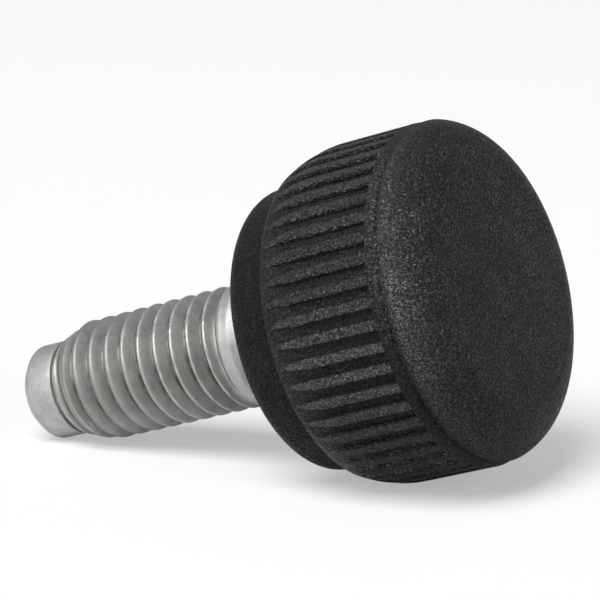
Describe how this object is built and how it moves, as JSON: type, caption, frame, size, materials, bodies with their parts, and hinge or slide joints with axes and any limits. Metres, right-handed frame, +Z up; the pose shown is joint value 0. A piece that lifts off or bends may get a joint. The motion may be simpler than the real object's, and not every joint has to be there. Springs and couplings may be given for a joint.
{
  "type": "thumb screw",
  "caption": "Thumb screw with a fluted black plastic knob moulded onto a zinc-plated steel stud that ends in a dog point, for clamping or locating by hand.",
  "frame": {"origin": "on the table, in the middle of the box of the lying screw", "axes": "+X runs the way the screw lies, from the stud's tip to the knob's cap, +Y is across it and +Z is up"},
  "size_m": [0.036, 0.021, 0.0221],
  "materials": {
    "knob": "fine leather grain, matt",
    "stud": "zinc plated, satin"
  },
  "bodies": {
    "root": {"knob": "knob", "stud": "stud"}
  },
  "joints": []
}
